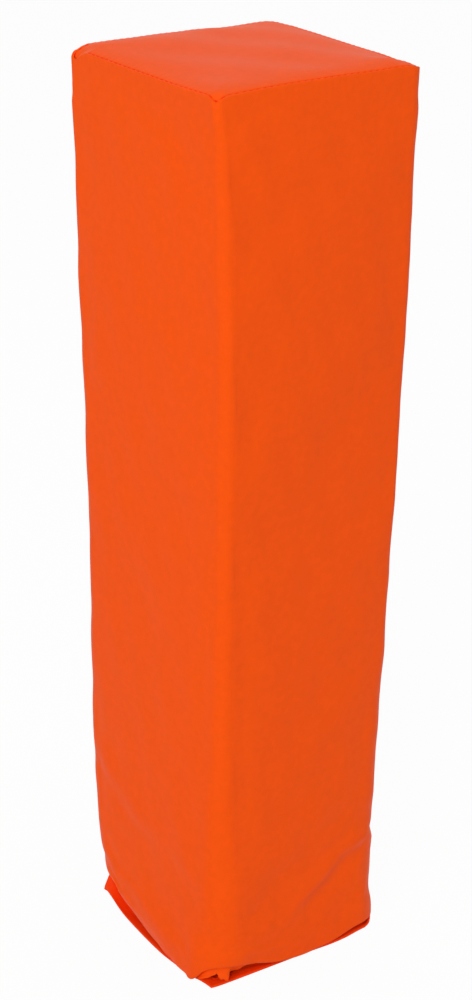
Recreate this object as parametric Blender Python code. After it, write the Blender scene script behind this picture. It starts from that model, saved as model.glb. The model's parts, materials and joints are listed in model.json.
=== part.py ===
# Football field pylon: a soft square marker that stands on its own weighted base.
#
# A sleeve of coated fabric wraps a foam block and a pouch of sand. A square panel closes its
# top. At the bottom three sides turn in as tabs, and the right side runs on as a flap that
# folds under the base and grips the tabs with hook and loop tape.
#
# Metres, +Z up. The origin is the middle of the base, on the floor. The front is -Y.
# Sides are taken anticlockwise as seen from above: back, left, front, right.

import math

import bmesh
import bpy
from mathutils import Vector

# Overall size
HEIGHT = 0.4572  # floor to the top of the crown: 18 inches
BASE_WIDTH = 0.1096  # across the flats at the floor
TOP_WIDTH = 0.1138  # across the flats at the top edge
WAIST_DRAW = 0.0007  # how far each side draws in at mid height
FACE_CROWN = 0.0010  # how far the padding swells each side
TOP_CROWN = 0.0025  # how far the padding swells the top panel

# Vertical corners: crisp over the foam, soft over the sand
CORNER_TOP = 0.0055
CORNER_BASE = 0.0170
CORNER_BLEND = 0.140  # height over which the corner changes
SHARPEST = 0.0006  # least corner radius of any layer inside the sleeve

# Coated fabric
SHEET = 0.0007
GAP = 0.0003  # clearance between layers that touch
EDGE_ROLL = 0.0040  # radius of the sleeve's top edge, up to the seam
SEAM_ALLOWANCE = 0.0080  # fabric turned in beyond a seam
SEAM_LAP = 0.0005  # clearance between the sleeve and its pressed-back allowance
SEAM_START = 0.012  # height at which the vertical seam's allowances begin
SEAM_END = 0.0172  # how far under the top they end

# Bottom tabs
FOLD_RADIUS = 0.0016  # outer radius where a side turns in
FOLD_RUN = 0.0080  # from the side to where the tab lies level
TAB_WIDTH = 0.054
TAB_DEPTH = 0.0308
MITRE_GAP = 0.0010  # clearance between neighbouring tabs

# Closure flap
FLAP_SETBACK = 0.0033  # the flap's edges lie this far inside the sleeve's sides
HEM = 0.0060  # width of the doubled edge
HEM_STEP = 0.0003  # run over which the doubled edge thins to one layer
HINGE_WIDTH = 0.056  # how much of the right side runs on into the flap
HINGE_OFFSET = 0.00025  # the fold's axis lies this far outside the sleeve
HINGE_PLAY = 0.0002  # clearance at the fold, beyond half a layer
EAR_REACH = 0.014  # how far from its tip a corner of the flap curls
EAR_CURL = {"back_left": 0.0040, "front_left": 0.0040, "front_right": 0.0025, "back_right": 0.0015}
OPENING = {"back_left": 0.0025, "front_left": 0.0030, "front_right": 0.0020, "back_right": 0.0010}

# Hook and loop tape
TAPE_WIDTH = 0.019
TAPE_LENGTH = 0.044
TAPE_THICK = 0.0012
TAPE_CORNER = 0.0020
TAPE_SETBACK = 0.0005  # from the flap's hem

# Sand pouch
POUCH_HEIGHT = 0.070
POUCH_PLY = 0.0004
POUCH_CLEAR = 0.0035  # from the sleeve's outer face to the pouch's seam flange
POUCH_FLANGE = 0.0040
POUCH_SHOULDER = 0.0070  # how far the pouch draws in from its seam to its flat top
POUCH_CORNER = 0.0120
POUCH_ROUNDEST = 0.9  # its corners' greatest radius near its middle, as a share of the half width
POUCH_REST = 0.0005  # height of its sagging middle over the flap

# Foam block
FOAM_CLEAR = 0.0004
FOAM_SEAM_CORNER = 0.016  # its corner radius beside the vertical seam's allowances
FOAM_EDGE = 0.0015  # its rounded top and bottom edges

# Standing folds in the sleeve, as drawn on a side: distance along it from its middle, and height
SLEEVE_FOLDS = [
    {"side": "front", "start": (0.046, 0.052), "end": (-0.007, 0.031), "rise": 0.0020, "spread": 0.008},
    {"side": "front", "start": (0.044, 0.080), "end": (-0.002, 0.078), "rise": 0.0008, "spread": 0.007},
    {"side": "left", "start": (-0.045, 0.103), "end": (0.009, 0.070), "rise": 0.0015, "spread": 0.008},
]

# How finely the forms are cut
SIDE_COUNTS = (4, 4, 6, 2)  # steps across each side's tab, or its hinge
CORNER_COUNTS = (3, 3, 3, 4)  # steps round each corner; the last is the seam's and even
LOW_LEVELS = (0.0, 0.016, 0.036, 0.056, 0.088)
LIFT_BLEND = 0.052  # height over which the raised corners of the lower edge fade out
CROWN_RINGS = (0.82, 0.60, 0.35)
SHARP_ANGLE = 40  # degrees: edges sharper than this are shaded as creases

# Sides and the corner that follows each
SIDES = ("back", "left", "front", "right")
CORNERS = ("back_left", "front_left", "front_right", "back_right")
OUTWARD = {"back": (0, 1), "left": (-1, 0), "front": (0, -1), "right": (1, 0)}
TABBED = ("front", "left", "back")

# Levels and places worked out from the sizes above
SEAM_LEVEL = HEIGHT - TOP_CROWN
SEAM_STOP = HEIGHT - SEAM_END
SLEEVE_LEVELS = LOW_LEVELS + (CORNER_BLEND, (CORNER_BLEND + SEAM_STOP) / 2, SEAM_STOP)
HEM_TOP = 2 * SHEET
HOOK_LEVEL = SHEET + GAP
LOOP_LEVEL = HOOK_LEVEL + TAPE_THICK + GAP
TAB_LEVEL = LOOP_LEVEL + TAPE_THICK + GAP
POUCH_LEVEL = TAB_LEVEL + SHEET + GAP
POUCH_TOP = POUCH_LEVEL + POUCH_HEIGHT
FOAM_LEVEL = POUCH_TOP + FOAM_CLEAR
FLAP_HALF = BASE_WIDTH / 2 - FLAP_SETBACK
HINGE_X = BASE_WIDTH / 2 + HINGE_OFFSET
HINGE_Z = SHEET / 2
HINGE_RUN = SHEET / 2 + HINGE_PLAY  # from the axis to the flap's end
HINGE_EDGE = HINGE_Z + math.hypot(HINGE_RUN, SHEET / 2) + GAP  # the right side's lower edge
FOLD_EDGE = HEM_TOP + GAP + FOLD_RADIUS  # where the other sides begin to turn in
TAPE_MIDDLE = FLAP_HALF - HEM - TAPE_SETBACK - TAPE_WIDTH / 2
PANEL_INSET = EDGE_ROLL + SHEET + GAP  # outer face of the top panel's allowance
FOAM_NECK_INSET = PANEL_INSET + SHEET + FOAM_CLEAR  # foam beside the top seam's allowances

# Finishes: a colour as linear red, green and blue, and a roughness
ORANGE_COATING = (0.89, 0.10, 0.018), 0.45
ORANGE_LOOP = (0.80, 0.12, 0.035), 0.9
BLACK_HOOK = (0.02, 0.02, 0.022), 0.7
CANVAS = (0.62, 0.60, 0.54), 0.85
SAND = (0.56, 0.43, 0.27), 0.95
GREY_FOAM = (0.30, 0.31, 0.33), 0.95


# Shape of the sleeve


def half_width(z):
    """Half the sleeve's width across its flats at a height."""
    share = z / HEIGHT
    straight = BASE_WIDTH / 2 + (TOP_WIDTH - BASE_WIDTH) / 2 * share
    return straight - WAIST_DRAW * 4 * share * (1 - share)


def corner_radius(z):
    """The sleeve's vertical corner is rounder towards the floor."""
    soft = max(0.0, 1 - z / CORNER_BLEND) ** 2
    return CORNER_TOP + (CORNER_BASE - CORNER_TOP) * soft


def side_swell(z):
    """How far the middle of a side stands out: none at the floor or the top seam."""
    return FACE_CROWN * max(0.0, 1 - (2 * z / HEIGHT - 1) ** 4)


def ring_stations(split_seam=False):
    """Stations round the sleeve, each (side, place along its flat from -1 to 1, angle past it).

    They start and end at the back right corner, where the vertical seam is. With split_seam
    the last station isn't the first one again, and the two stand apart by the seam's turns.
    """
    stations = []
    quarter = math.pi / 2
    flat = half_width(0) - corner_radius(0)
    for side, steps, corner_steps in zip(SIDES, SIDE_COUNTS, CORNER_COUNTS):
        reach = (TAB_WIDTH if side in TABBED else HINGE_WIDTH) / 2 / flat
        places = [-1.0] + [reach * (2 * i / steps - 1) for i in range(steps + 1)] + [1.0]
        stations += [(side, place, 0.0) for place in places]
        stations += [(side, 1.0, quarter * i / corner_steps) for i in range(1, corner_steps)]
    half = CORNER_COUNTS[-1] // 2
    turned = stations[-half + 1:] if half > 1 else []
    kept = stations[: len(stations) - len(turned)]
    if split_seam:
        middle = kept.pop()
        return [(middle[0], 1.0, middle[2])] + turned + kept + [middle]
    return turned + kept


def ring_point(station, half, radii, swell=0.0):
    """A point of a rounded square and the way it faces. radii has a radius for each corner."""
    side, along, turn = station
    index = SIDES.index(side)
    outward = Vector(OUTWARD[side])
    onward = Vector((-outward.y, outward.x))
    ends = half - radii[index - 1], half - radii[index]
    if turn:
        facing = outward * math.cos(turn) + onward * math.sin(turn)
        return (outward + onward) * ends[1] + facing * radii[index], facing
    place = -ends[0] + (ends[0] + ends[1]) * (along + 1) / 2
    bulge = swell * math.cos(math.pi / 2 * place / max(ends)) ** 2 if abs(place) < max(ends) else 0.0
    return outward * (half + bulge) + onward * place, outward


def fold_rise(side, along, z):
    """Height of the standing folds at a place on a side."""
    rise = 0.0
    for fold in SLEEVE_FOLDS:
        if fold["side"] != side:
            continue
        start, end, here = Vector(fold["start"]), Vector(fold["end"]), Vector((along, z))
        run = end - start
        share = min(1.0, max(0.0, (here - start).dot(run) / run.length_squared))
        distance = (here - start - run * share).length
        rise += fold["rise"] * math.exp(-((distance / fold["spread"]) ** 2))
    return rise


def sleeve_point(station, z, inset, folded=False):
    """A point of the sleeve, inset from its outer face, as a 3-D position."""
    half = half_width(z) - inset
    radius = max(corner_radius(z) - inset, SHARPEST)
    point, facing = ring_point(station, half, [radius] * len(SIDES), side_swell(z))
    if folded:
        side, along, turn = station
        following = SIDES[(SIDES.index(side) + 1) % len(SIDES)]
        flat = half_width(z) - corner_radius(z)
        past = corner_radius(z) * turn
        before = corner_radius(z) * (math.pi / 2 - turn)
        rise = fold_rise(side, along * flat + past, z)
        if turn:
            rise += fold_rise(following, -flat - before, z)
        point = point + facing * rise
    return Vector((point.x, point.y, z))


def edge_level(station):
    """Height of the sleeve's lower edge, which lifts off the flap towards each corner."""
    side, along, turn = station
    index = SIDES.index(side)
    rest = FOLD_EDGE if side in TABBED else HINGE_EDGE
    corner = CORNERS[index] if along > 0 else CORNERS[index - 1]
    lifted = HEM_TOP + GAP + EAR_CURL[corner] + OPENING[corner]
    if turn:
        return lifted
    return rest + (lifted - rest) * along**4


def crown_level(x, y, half):
    """Height of the top panel's outer face over a square of the given half width."""
    across = max(0.0, 1 - (x / half) ** 2)
    along = max(0.0, 1 - (y / half) ** 2)
    return SEAM_LEVEL + TOP_CROWN * across * along


# Mesh helpers


def ring(bm, points):
    return [bm.verts.new(point) for point in points]


def skin(bm, first, second, closed=True):
    """Join two rows of vertices with quads."""
    count = len(first) if closed else len(first) - 1
    for i in range(count):
        j = (i + 1) % len(first)
        bm.faces.new((first[i], first[j], second[j], second[i]))


def cap(bm, row, centre):
    """Close a ring with a fan to a centre point."""
    middle = bm.verts.new(centre)
    for i, vert in enumerate(row):
        bm.faces.new((vert, row[(i + 1) % len(row)], middle))


def carry(bm, outer, inner, steps):
    """Carry a strip of sheet on from an edge, one (outer, inner) row of points a step."""
    for outer_points, inner_points in steps:
        next_outer, next_inner = ring(bm, outer_points), ring(bm, inner_points)
        skin(bm, outer, next_outer, closed=False)
        skin(bm, inner, next_inner, closed=False)
        for end in (0, -1):
            bm.faces.new((outer[end], inner[end], next_inner[end], next_outer[end]))
        outer, inner = next_outer, next_inner
    skin(bm, outer, inner, closed=False)


def finish(bm, name, look, origin=(0, 0, 0)):
    """Turn a bmesh into a named object with its own material and its origin at a point."""
    colour, roughness = look
    bmesh.ops.translate(bm, verts=bm.verts, vec=-Vector(origin))
    bmesh.ops.recalc_face_normals(bm, faces=bm.faces)
    bmesh.ops.triangulate(bm, faces=bm.faces, quad_method="FIXED")
    mesh = bpy.data.meshes.new(name)
    bm.to_mesh(mesh)
    bm.free()
    mesh.shade_smooth()
    mesh.set_sharp_from_angle(angle=math.radians(SHARP_ANGLE))
    material = bpy.data.materials.new(f"{name}_finish")
    material.use_nodes = True
    shader = material.node_tree.nodes["Principled BSDF"]
    shader.inputs["Base Color"].default_value = (*colour, 1.0)
    shader.inputs["Roughness"].default_value = roughness
    shader.inputs["Metallic"].default_value = 0.0
    mesh.materials.append(material)
    piece = bpy.data.objects.new(name, mesh)
    bpy.context.collection.objects.link(piece)
    return piece


# Side cover


def sleeve_rows():
    """The sleeve's section from its lower edge to the end of its top allowance.

    Each row is the outer and the inner skin's (inset, height).
    """
    rows = [((0.0, level), (SHEET, level)) for level in SLEEVE_LEVELS]
    centre = SEAM_LEVEL - EDGE_ROLL
    inner_roll = EDGE_ROLL - SHEET
    for angle in (0, math.pi / 4, math.pi / 2):
        outer = EDGE_ROLL * (1 - math.cos(angle)), centre + EDGE_ROLL * math.sin(angle)
        inner = EDGE_ROLL - inner_roll * math.cos(angle), centre + inner_roll * math.sin(angle)
        rows.append((outer, inner))
    pinch = SHEET / 2
    rows[-1] = (rows[-1][0], (EDGE_ROLL - pinch, SEAM_LEVEL - SHEET))
    under_seam = SEAM_LEVEL - SHEET
    rows.append(((EDGE_ROLL + SHEET, under_seam), (EDGE_ROLL, under_seam - pinch)))
    allowance_end = SEAM_LEVEL - SEAM_ALLOWANCE
    rows.append(((EDGE_ROLL + SHEET, allowance_end), (EDGE_ROLL, allowance_end)))
    return rows


def seam_station(z, distance, backwards):
    """The station that lies some way from the vertical seam, along the back or the right side."""
    radius = corner_radius(z)
    flat = half_width(z) - radius
    turn = distance / radius
    if turn < math.pi / 4:
        return ("right", 1.0, math.pi / 4 - turn if backwards else math.pi / 4 + turn)
    along = 1 - (distance - radius * math.pi / 4) / flat
    return ("right", along, 0.0) if backwards else ("back", -along, 0.0)


def tab_steps(side, stations, levels):
    """Rows that turn a side in under the base as a tab with mitred ends."""
    outward = Vector(OUTWARD[side])
    onward = Vector((-outward.y, outward.x))
    profile = []
    for angle in (math.pi / 4, math.pi / 2):
        outer = FOLD_RADIUS * (1 - math.cos(angle)), -FOLD_RADIUS * math.sin(angle)
        inner_radius = FOLD_RADIUS - SHEET
        inner = FOLD_RADIUS - inner_radius * math.cos(angle), -inner_radius * math.sin(angle)
        profile.append((outer, inner, True))
    for depth in (FOLD_RUN, TAB_DEPTH):
        profile.append(((depth, TAB_LEVEL), (depth, TAB_LEVEL + SHEET), False))
    steps = []
    for *points, hangs in profile:
        rows = []
        for inset, height in points:
            row = []
            for station, level in zip(stations, levels):
                half = half_width(level)
                place = station[1] * (half - corner_radius(level))
                widest = max(abs(s[1]) for s in stations) * (half - corner_radius(level))
                narrow = min(1.0, (half - inset - MITRE_GAP) / widest)
                flat = outward * (half + side_swell(level) * (1 - station[1] ** 2) - inset)
                spot = flat + onward * place * narrow
                row.append((spot.x, spot.y, level + height if hangs else height))
            rows.append(row)
        steps.append(rows)
    return steps


def build_side_cover():
    """The sleeve: one sheet wrapped round and joined by a turned-in seam down its back right
    corner, with a turned-in allowance along its top and three tabs along its bottom."""
    bm = bmesh.new()
    stations = ring_stations(split_seam=True)
    turn_room = SHEET + SEAM_LAP / 2 + GAP / 2
    outer, inner = [], []
    for row, sections in enumerate(sleeve_rows()):
        for skins, (inset, level) in zip((outer, inner), sections):
            points = []
            for station in stations:
                height = level
                if level < LIFT_BLEND:
                    height += edge_level(station) * (1 - level / LIFT_BLEND)
                points.append(sleeve_point(station, height, inset, folded=row < len(SLEEVE_LEVELS)))
            for end, backwards in ((0, False), (-1, True)):
                height = points[end].z
                points[end] = sleeve_point(seam_station(height, turn_room, backwards), height, inset)
            skins.append(ring(bm, points))
    for low, high in zip(range(len(outer) - 1), range(1, len(outer))):
        skin(bm, outer[low], outer[high], closed=False)
        skin(bm, inner[low], inner[high], closed=False)
    skin(bm, outer[-1], inner[-1], closed=False)

    # Lower edge: a tab on three sides, a plain edge elsewhere
    tabbed = set()
    for side in TABBED:
        spot = [i for i, s in enumerate(stations) if s[0] == side and not s[2] and abs(s[1]) < 1]
        tabbed.update(spot[:-1])
        levels = [outer[0][i].co.z for i in spot]
        strip = [outer[0][i] for i in spot], [inner[0][i] for i in spot]
        carry(bm, *strip, tab_steps(side, [stations[i] for i in spot], levels))
    for i in range(len(stations) - 1):
        if i not in tabbed:
            bm.faces.new((outer[0][i], outer[0][i + 1], inner[0][i + 1], inner[0][i]))

    # Vertical seam: both ends of the sheet turn back inside, except near the base and the top
    for end, backwards in ((0, False), (-1, True)):
        rows = [i for i, row in enumerate(outer) if SEAM_START <= row[end].co.z <= SEAM_STOP]
        rows = [i for i in rows if i < len(SLEEVE_LEVELS)]
        heights = [outer[i][end].co.z for i in rows]
        middle = SHEET + SEAM_LAP / 2
        plan = [
            ((turn_room - middle, middle), (turn_room - SEAM_LAP / 2, middle)),
            ((turn_room, 2 * SHEET + SEAM_LAP), (turn_room, SHEET + SEAM_LAP)),
            ((SEAM_ALLOWANCE, 2 * SHEET + SEAM_LAP), (SEAM_ALLOWANCE, SHEET + SEAM_LAP)),
        ]
        steps = []
        for pair in plan:
            lines = [(inset, [seam_station(z, run, backwards) for z in heights]) for run, inset in pair]
            steps.append([[sleeve_point(s, z, inset) for s, z in zip(line, heights)] for inset, line in lines])
        carry(bm, [outer[i][end] for i in rows], [inner[i][end] for i in rows], steps)
        for i in range(len(outer) - 1):
            if i not in rows[:-1]:
                bm.faces.new((outer[i][end], outer[i + 1][end], inner[i + 1][end], inner[i][end]))
    return finish(bm, "side_cover", ORANGE_COATING)


# Top panel


def build_top_panel():
    """A crowned square whose edges turn down inside the sleeve's, beyond the top seam."""
    bm = bmesh.new()
    stations = ring_stations()
    edge_inset = PANEL_INSET + SHEET
    edge = [sleeve_point(s, SEAM_LEVEL, edge_inset) for s in stations]
    half = half_width(SEAM_LEVEL) - edge_inset
    pinch = SHEET / 2
    skins = []
    for drop, inset, turned in ((0.0, PANEL_INSET, SHEET), (SHEET, PANEL_INSET + SHEET, SHEET + pinch)):
        rows = [ring(bm, [sleeve_point(s, SEAM_LEVEL - SEAM_ALLOWANCE, inset) for s in stations])]
        rows.append(ring(bm, [sleeve_point(s, SEAM_LEVEL - turned, inset) for s in stations]))
        for scale in (1.0 if not drop else 1 - pinch / half, *CROWN_RINGS):
            spots = [(p.x * scale, p.y * scale) for p in edge]
            rows.append(ring(bm, [(x, y, crown_level(x, y, half) - drop) for x, y in spots]))
        for low, high in zip(rows, rows[1:]):
            skin(bm, low, high)
        cap(bm, rows[-1], (0, 0, crown_level(0, 0, half) - drop))
        skins.append(rows)
    skin(bm, skins[0][0], skins[1][0])
    return finish(bm, "top_panel", ORANGE_COATING)


# Closure flap and its fold


def ear_curl(x, y):
    """How far a corner of the flap curls up off the floor."""
    rise = 0.0
    for side, corner in zip(SIDES, CORNERS):
        outward = Vector(OUTWARD[side])
        onward = Vector((-outward.y, outward.x))
        tip = (outward + onward) * FLAP_HALF
        distance = (Vector((x, y)) - tip).length
        rise += EAR_CURL[corner] * max(0.0, 1 - distance / EAR_REACH) ** 2
    return rise


def build_closure_flap(hinge):
    """A square of the same sheet, doubled along its three free edges, with a short run to the fold."""
    bm = bmesh.new()
    insets = (0, HEM / 2, HEM, HEM + HEM_STEP, EAR_REACH)
    edges = [FLAP_HALF - inset for inset in insets]
    across = sorted([-edge for edge in edges] + [0.0] + edges)
    along = sorted(across + [-HINGE_WIDTH / 2, HINGE_WIDTH / 2])
    single = FLAP_HALF - HEM - HEM_STEP / 2
    under, over = [], []
    for x in across:
        doubled = [x < -single or abs(y) > single for y in along]
        curls = [ear_curl(x, y) for y in along]
        under.append(ring(bm, [(x, y, curl) for y, curl in zip(along, curls)]))
        tops = [(x, y, curl + (HEM_TOP if thick else SHEET)) for y, curl, thick in zip(along, curls, doubled)]
        over.append(ring(bm, tops))
    for i in range(len(across) - 1):
        skin(bm, under[i], under[i + 1], closed=False)
        skin(bm, over[i], over[i + 1], closed=False)
    skin(bm, under[0], over[0], closed=False)
    for end in (0, -1):
        skin(bm, [row[end] for row in under], [row[end] for row in over], closed=False)
    run = [j for j, y in enumerate(along) if abs(y) <= HINGE_WIDTH / 2]
    for j in range(len(along) - 1):
        if j not in run[:-1]:
            bm.faces.new((under[-1][j], under[-1][j + 1], over[-1][j + 1], over[-1][j]))
    fold_x = HINGE_X - HINGE_RUN
    step = [(fold_x, along[j], 0.0) for j in run], [(fold_x, along[j], SHEET) for j in run]
    carry(bm, [under[-1][j] for j in run], [over[-1][j] for j in run], [step])
    flap = finish(bm, "closure_flap", ORANGE_COATING, origin=hinge.location)
    flap.parent = hinge
    return flap


# Hook and loop tape


def build_tape(name, side, level, look, hinge=None):
    """A strip of tape along one side of the base, with rounded corners."""
    bm = bmesh.new()
    bmesh.ops.create_cube(bm, size=1.0)
    bmesh.ops.scale(bm, vec=(TAPE_WIDTH, TAPE_LENGTH, TAPE_THICK), verts=bm.verts)
    bmesh.ops.translate(bm, vec=(0, 0, TAPE_THICK / 2), verts=bm.verts)
    upright = [e for e in bm.edges if abs(e.verts[0].co.z - e.verts[1].co.z) > TAPE_THICK / 2]
    bmesh.ops.bevel(bm, geom=upright, offset=TAPE_CORNER, segments=3, profile=0.5, affect="EDGES")
    tape = finish(bm, name, look)
    outward = Vector((*OUTWARD[side], 0))
    place = outward * TAPE_MIDDLE + Vector((0, 0, level))
    tape.rotation_euler.z = math.atan2(outward.y, outward.x)
    tape.location = place - hinge.location if hinge else place
    tape.parent = hinge
    return tape


# Sand pouch


def pouch_outline(way, depth):
    """Section of the pouch's upper (way 1) or lower (way -1) half, from its seam to its flat.

    depth is the distance inside the pouch's outer face. Each entry is (half width, height).
    """
    seam_level = POUCH_LEVEL + POUCH_HEIGHT / 2
    seam_half = half_width(seam_level) - POUCH_CLEAR - POUCH_FLANGE
    outline = []
    for angle in (0, math.pi / 6, math.pi / 3, math.pi / 2):
        half = seam_half - POUCH_SHOULDER * (1 - math.cos(angle)) - depth * math.cos(angle)
        outline.append((half, seam_level + way * (POUCH_HEIGHT / 2 - depth) * math.sin(angle)))
    return outline


def pouch_floor(way, depth, half):
    """Height of the pouch's flat top or bottom. The bottom sags between the tabs."""
    if way > 0:
        return POUCH_TOP - depth
    sag = POUCH_LEVEL - SHEET - POUCH_REST
    between_tabs = BASE_WIDTH / 2 - TAB_DEPTH - MITRE_GAP
    share = min(1.0, half / between_tabs)
    return POUCH_LEVEL + depth - sag * math.cos(math.pi / 2 * share) ** 2


def pouch_rings(bm, way, depth, lead=()):
    """Rings of one face of the pouch from its seam to the middle, closed at the middle."""
    stations = ring_stations()
    outline = list(lead) + pouch_outline(way, depth)[1 if lead else 0:]
    between_tabs = BASE_WIDTH / 2 - TAB_DEPTH - MITRE_GAP
    for half in (between_tabs, between_tabs * 2 / 3, between_tabs / 3):
        outline.append((half, pouch_floor(way, depth, half)))
    rows = []
    for half, z in outline:
        radius = [min(POUCH_CORNER, half * POUCH_ROUNDEST)] * len(SIDES)
        points = [ring_point(s, half, radius)[0] for s in stations]
        rows.append(ring(bm, [(p.x, p.y, z) for p in points]))
    for low, high in zip(rows, rows[1:]):
        skin(bm, low, high)
    cap(bm, rows[-1], (0, 0, pouch_floor(way, depth, 0)))
    return rows


def build_pouch_panel(name, way):
    """Half of the pouch, a dished panel with a flange that is sewn to the other half's."""
    bm = bmesh.new()
    seam_level = POUCH_LEVEL + POUCH_HEIGHT / 2
    root = pouch_outline(way, 0.0)[0][0]
    faces = []
    for depth in (0.0, POUCH_PLY):
        level = seam_level + way * (GAP / 2 + POUCH_PLY - depth)
        lead = ((root + POUCH_FLANGE, level), (root - depth, level))
        faces.append(pouch_rings(bm, way, depth, lead))
    skin(bm, faces[0][0], faces[1][0])
    return finish(bm, name, CANVAS)


def build_sand_fill():
    """The sand, which takes the pouch's inner form."""
    bm = bmesh.new()
    depth = POUCH_PLY + GAP
    upper = pouch_rings(bm, 1, depth)
    lower = pouch_rings(bm, -1, depth)
    for first, second in zip(upper[0], lower[0]):
        bmesh.ops.weld_verts(bm, targetmap={second: first})
    return finish(bm, "sand_fill", SAND)


# Foam block


def build_foam_core():
    """The foam block: it fills the sleeve over the pouch, narrows beside the top seam's
    allowances and is rounder at the back right corner, where the vertical seam turns in."""
    bm = bmesh.new()
    stations = ring_stations()
    body = SHEET + FOAM_CLEAR
    ledge = SEAM_LEVEL - SEAM_ALLOWANCE - GAP
    neck_top = SEAM_LEVEL - SHEET - FOAM_CLEAR - FOAM_EDGE
    section = [(body + FOAM_EDGE, FOAM_LEVEL), (body, FOAM_LEVEL + FOAM_EDGE)]
    section += [(body, level) for level in SLEEVE_LEVELS if FOAM_LEVEL + FOAM_EDGE < level]
    section += [(FOAM_NECK_INSET, ledge), (FOAM_NECK_INSET, neck_top)]
    rows = []
    for inset, z in section:
        half = half_width(z) - inset
        plain = max(corner_radius(z) - inset, SHARPEST)
        radii = [plain, plain, plain, max(plain, FOAM_SEAM_CORNER - inset)]
        points = [ring_point(s, half, radii, side_swell(z))[0] for s in stations]
        rows.append(ring(bm, [(p.x, p.y, z) for p in points]))
    crown_half = half_width(SEAM_LEVEL) - PANEL_INSET - SHEET
    top = [vert.co.copy() for vert in rows[-1]]
    top_half = half_width(neck_top) - FOAM_NECK_INSET
    for scale in (1 - FOAM_EDGE / top_half, *CROWN_RINGS):
        spots = [(p.x * scale, p.y * scale) for p in top]
        rows.append(ring(bm, [(x, y, crown_level(x, y, crown_half) - SHEET - FOAM_CLEAR) for x, y in spots]))
    for low, high in zip(rows, rows[1:]):
        skin(bm, low, high)
    cap(bm, rows[0], (0, 0, FOAM_LEVEL))
    cap(bm, rows[-1], (0, 0, crown_level(0, 0, crown_half) - SHEET - FOAM_CLEAR))
    return finish(bm, "foam_core", GREY_FOAM)


# Assembly


def build():
    for old in list(bpy.data.objects):
        bpy.data.objects.remove(old, do_unlink=True)
    hinge = bpy.data.objects.new("flap_hinge", None)
    hinge.location = (HINGE_X, 0.0, HINGE_Z)
    bpy.context.collection.objects.link(hinge)

    build_side_cover()
    build_top_panel()
    build_closure_flap(hinge)
    for side in TABBED:
        build_tape(f"loop_tape_{side}", side, LOOP_LEVEL, ORANGE_LOOP)
        build_tape(f"hook_tape_{side}", side, HOOK_LEVEL, BLACK_HOOK, hinge)
    build_pouch_panel("ballast_bag_upper", 1)
    build_pouch_panel("ballast_bag_lower", -1)
    build_sand_fill()
    build_foam_core()


build()
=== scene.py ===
# Looks of a football field pylon: sewn coated fabric over a foam block and a bag of sand.
#
# Metres, +Z up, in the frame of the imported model. Sides are taken anticlockwise as seen from
# above: back (+Y), left (-X), front (-Y), right (+X). CORNERS names the corner after each side.
# The closure flap lies under the base and folds at the right side.

import json
import math

import bmesh
import bpy
import numpy as np
from mathutils import Matrix, Vector


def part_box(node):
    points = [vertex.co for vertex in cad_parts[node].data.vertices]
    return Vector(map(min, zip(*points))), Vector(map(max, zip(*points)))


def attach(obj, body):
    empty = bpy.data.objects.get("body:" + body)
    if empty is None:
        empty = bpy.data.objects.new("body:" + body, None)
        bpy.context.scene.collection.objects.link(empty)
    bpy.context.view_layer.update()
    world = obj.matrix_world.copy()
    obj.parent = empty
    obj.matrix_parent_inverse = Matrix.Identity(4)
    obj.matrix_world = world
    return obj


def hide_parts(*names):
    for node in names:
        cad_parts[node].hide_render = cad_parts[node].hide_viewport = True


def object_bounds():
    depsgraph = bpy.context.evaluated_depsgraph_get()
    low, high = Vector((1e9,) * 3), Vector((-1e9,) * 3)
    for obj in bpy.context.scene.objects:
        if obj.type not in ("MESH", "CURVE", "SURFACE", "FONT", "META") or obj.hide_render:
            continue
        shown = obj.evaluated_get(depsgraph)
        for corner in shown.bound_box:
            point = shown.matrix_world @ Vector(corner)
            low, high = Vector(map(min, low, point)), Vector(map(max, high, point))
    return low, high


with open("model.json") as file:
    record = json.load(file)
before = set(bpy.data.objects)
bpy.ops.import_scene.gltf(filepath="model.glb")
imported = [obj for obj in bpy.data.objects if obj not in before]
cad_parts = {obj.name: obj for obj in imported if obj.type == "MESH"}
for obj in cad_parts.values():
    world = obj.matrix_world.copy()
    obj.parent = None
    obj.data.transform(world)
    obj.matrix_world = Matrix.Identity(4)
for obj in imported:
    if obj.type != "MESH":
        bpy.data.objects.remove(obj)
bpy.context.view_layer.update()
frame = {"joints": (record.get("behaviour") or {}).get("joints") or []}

MM = 0.001

# Sides and corners
SIDES = ("back", "left", "front", "right")
CORNERS = ("back_left", "front_left", "front_right", "back_right")
OUTWARD = np.array([(0, 1), (-1, 0), (0, -1), (1, 0)], float)
ONWARD = np.array([(-1, 0), (0, -1), (1, 0), (0, 1)], float)
FLAT_COLUMNS = 99
CORNER_COLUMNS = 22
SEAM_CORNER = 3  # the sleeve's ends meet at the middle of the corner after this side

# Sleeve, by height in mm: half its width across the flats, its twist and its corners' radii
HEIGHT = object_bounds()[1].z
HALF_WIDTH = {0: 56.1, 40: 55.3, 90: 55.2, 160: 55.0, 250: 55.2, 350: 56.8, 457: 57.1}
TWIST = {0: -0.6, 150: 0.7, 400: 0.0, 440: -1.3, 457: -2.4}  # degrees anticlockwise
CORNER_RADIUS = {
    "back_left": {
        0: 31.5, 18: 28.5, 39: 20, 75: 13, 145: 9, 230: 9.3, 330: 7.8, 430: 4.6, 457: 3.4,
    },
    "front_left": {0: 21.5, 20: 19.5, 40: 16.5, 90: 12, 160: 8.7, 400: 6, 457: 4.4},
    "front_right": {0: 15.5, 30: 16.5, 67: 15.7, 120: 12.2, 160: 9.2, 457: 6.2},
    "back_right": {0: 18.5, 30: 17, 70: 13.7, 130: 9.7, 457: 6.5},
}
FACE_CROWN = 0.8 * MM
LEAST_RADIUS = 2 * MM

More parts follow.
